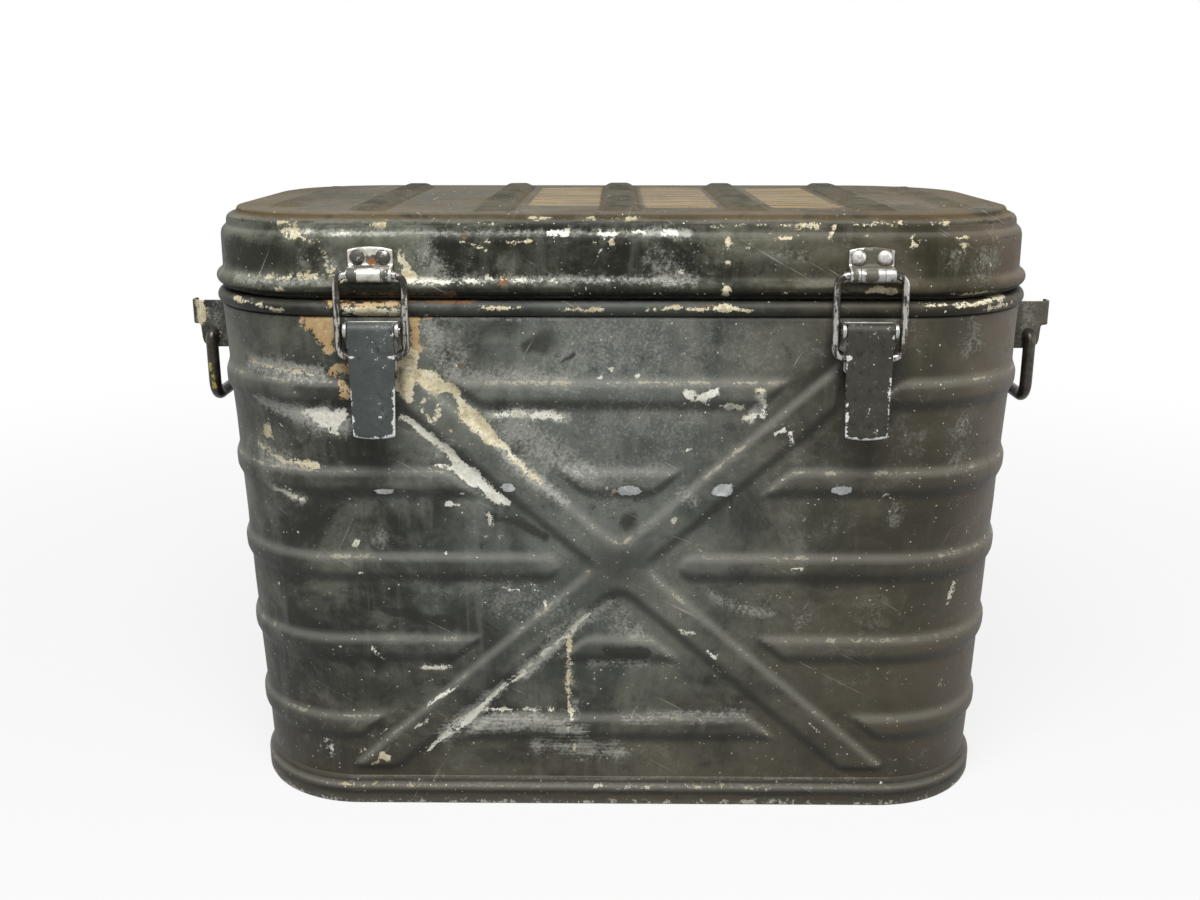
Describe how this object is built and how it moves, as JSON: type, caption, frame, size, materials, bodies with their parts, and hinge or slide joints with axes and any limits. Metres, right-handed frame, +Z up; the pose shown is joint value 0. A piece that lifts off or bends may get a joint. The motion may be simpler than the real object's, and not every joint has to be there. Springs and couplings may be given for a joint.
{
  "type": "insulated food container",
  "caption": "Double-walled insulated food can with ribbed, cross-embossed sides, lift-off ribbed lid, draw latches, drop end handles and lift-out food pans.",
  "frame": {"origin": "centre of the flat base, on the surface that the can stands on", "axes": "+Z up; the front face with its cross and latches faces -Y; +X along the can's length, to the right as seen from the front"},
  "size_m": [0.6478, 0.344, 0.444],
  "materials": {
    "olive_paint": "worn olive-drab paint on pressed aluminium",
    "painted_steel": "worn olive-drab paint on pressed steel",
    "bare_aluminium": "dull bare sheet",
    "worn_steel": "worn bare steel with traces of rust",
    "dark_steel": "dark worn paint on steel",
    "grip_steel": "satin",
    "foam": "sealed light insulation",
    "seal_rubber": "matte"
  },
  "bodies": {
    "container": {"outer_shell": "olive_paint", "base_band": "olive_paint", "base_plate": "bare_aluminium", "top_rim": "olive_paint", "inner_tank": "bare_aluminium", "body_insulation": "foam", "handle_bracket_left": "painted_steel", "handle_bracket_right": "painted_steel", "handle_bracket_rivets": "worn_steel", "latch_base_front_left": "dark_steel", "latch_base_front_right": "dark_steel", "latch_base_back_left": "dark_steel", "latch_base_back_right": "dark_steel", "latch_base_rivets": "dark_steel", "latch_pins": "dark_steel"},
    "lid": {"lid_shell": "olive_paint", "lid_liner": "bare_aluminium", "lid_insulation": "foam", "lid_gasket": "seal_rubber", "catch_front_left": "worn_steel", "catch_front_right": "worn_steel", "catch_back_left": "worn_steel", "catch_back_right": "worn_steel", "catch_rivets": "worn_steel"},
    "lever_front_left": {"lever_front_left": "painted_steel"},
    "bail_front_left": {"bail_front_left": "dark_steel"},
    "lever_front_right": {"lever_front_right": "painted_steel"},
    "bail_front_right": {"bail_front_right": "dark_steel"},
    "lever_back_left": {"lever_back_left": "painted_steel"},
    "bail_back_left": {"bail_back_left": "dark_steel"},
    "lever_back_right": {"lever_back_right": "painted_steel"},
    "bail_back_right": {"bail_back_right": "dark_steel"},
    "handle_left": {"handle_left": "dark_steel"},
    "handle_right": {"handle_right": "dark_steel"},
    "pan_left": {"pan_left": "bare_aluminium"},
    "pan_cover_left": {"pan_cover_left": "bare_aluminium", "pan_seal_left": "seal_rubber", "cover_grip_left": "grip_steel"},
    "pan_middle": {"pan_middle": "bare_aluminium"},
    "pan_cover_middle": {"pan_cover_middle": "bare_aluminium", "pan_seal_middle": "seal_rubber", "cover_grip_middle": "grip_steel"},
    "pan_right": {"pan_right": "bare_aluminium"},
    "pan_cover_right": {"pan_cover_right": "bare_aluminium", "pan_seal_right": "seal_rubber", "cover_grip_right": "grip_steel"}
  },
  "joints": [
    {"name": "lid_lift", "type": "slide", "parent": "container", "child": "lid", "axis": [0, 0, 1], "range_m": [0, 0.62]},
    {"name": "lever_front_left_swing", "type": "hinge", "parent": "container", "child": "lever_front_left", "pos_m": [-0.166, -0.1642, 0.36453], "axis": [-1, 0, 0], "range_deg": [0, 150]},
    {"name": "bail_front_left_swing", "type": "hinge", "parent": "lid", "child": "bail_front_left", "pos_m": [-0.166, -0.1623, 0.4013], "axis": [-1, 0, 0], "range_deg": [0, 37.5]},
    {"name": "lever_front_right_swing", "type": "hinge", "parent": "container", "child": "lever_front_right", "pos_m": [0.166, -0.1642, 0.36453], "axis": [-1, 0, 0], "range_deg": [0, 150]},
    {"name": "bail_front_right_swing", "type": "hinge", "parent": "lid", "child": "bail_front_right", "pos_m": [0.166, -0.1623, 0.4013], "axis": [-1, 0, 0], "range_deg": [0, 37.5]},
    {"name": "lever_back_left_swing", "type": "hinge", "parent": "container", "child": "lever_back_left", "pos_m": [-0.166, 0.1642, 0.36453], "axis": [1, 0, 0], "range_deg": [0, 150]},
    {"name": "bail_back_left_swing", "type": "hinge", "parent": "lid", "child": "bail_back_left", "pos_m": [-0.166, 0.1623, 0.4013], "axis": [1, 0, 0], "range_deg": [0, 37.5]},
    {"name": "lever_back_right_swing", "type": "hinge", "parent": "container", "child": "lever_back_right", "pos_m": [0.166, 0.1642, 0.36453], "axis": [1, 0, 0], "range_deg": [0, 150]},
    {"name": "bail_back_right_swing", "type": "hinge", "parent": "lid", "child": "bail_back_right", "pos_m": [0.166, 0.1623, 0.4013], "axis": [1, 0, 0], "range_deg": [0, 37.5]},
    {"name": "handle_left_swing", "type": "hinge", "parent": "container", "child": "handle_left", "pos_m": [-0.308, 0, 0.34288], "axis": [0, 1, 0], "range_deg": [-10, 110]},
    {"name": "handle_right_swing", "type": "hinge", "parent": "container", "child": "handle_right", "pos_m": [0.308, 0, 0.34288], "axis": [0, -1, 0], "range_deg": [-10, 110]},
    {"name": "pan_left_lift", "type": "slide", "parent": "container", "child": "pan_left", "axis": [0, 0, 1], "range_m": [0, 0.3534]},
    {"name": "pan_cover_left_lift", "type": "slide", "parent": "pan_left", "child": "pan_cover_left", "axis": [0, 0, 1], "range_m": [0, 0.0744]},
    {"name": "pan_middle_lift", "type": "slide", "parent": "container", "child": "pan_middle", "axis": [0, 0, 1], "range_m": [0, 0.3534]},
    {"name": "pan_cover_middle_lift", "type": "slide", "parent": "pan_middle", "child": "pan_cover_middle", "axis": [0, 0, 1], "range_m": [0, 0.0744]},
    {"name": "pan_right_lift", "type": "slide", "parent": "container", "child": "pan_right", "axis": [0, 0, 1], "range_m": [0, 0.3534]},
    {"name": "pan_cover_right_lift", "type": "slide", "parent": "pan_right", "child": "pan_cover_right", "axis": [0, 0, 1], "range_m": [0, 0.0744]}
  ],
  "couplings": [
    {"joint": "bail_front_left_swing", "follows": "lever_front_left_swing", "ratio": 0.25},
    {"joint": "bail_front_right_swing", "follows": "lever_front_right_swing", "ratio": 0.25},
    {"joint": "bail_back_left_swing", "follows": "lever_back_left_swing", "ratio": 0.25},
    {"joint": "bail_back_right_swing", "follows": "lever_back_right_swing", "ratio": 0.25},
    {"joint": "pan_left_lift", "follows": "lid_lift", "ratio": 0.57},
    {"joint": "pan_cover_left_lift", "follows": "lid_lift", "ratio": 0.12},
    {"joint": "pan_middle_lift", "follows": "lid_lift", "ratio": 0.57},
    {"joint": "pan_cover_middle_lift", "follows": "lid_lift", "ratio": 0.12},
    {"joint": "pan_right_lift", "follows": "lid_lift", "ratio": 0.57},
    {"joint": "pan_cover_right_lift", "follows": "lid_lift", "ratio": 0.12}
  ]
}
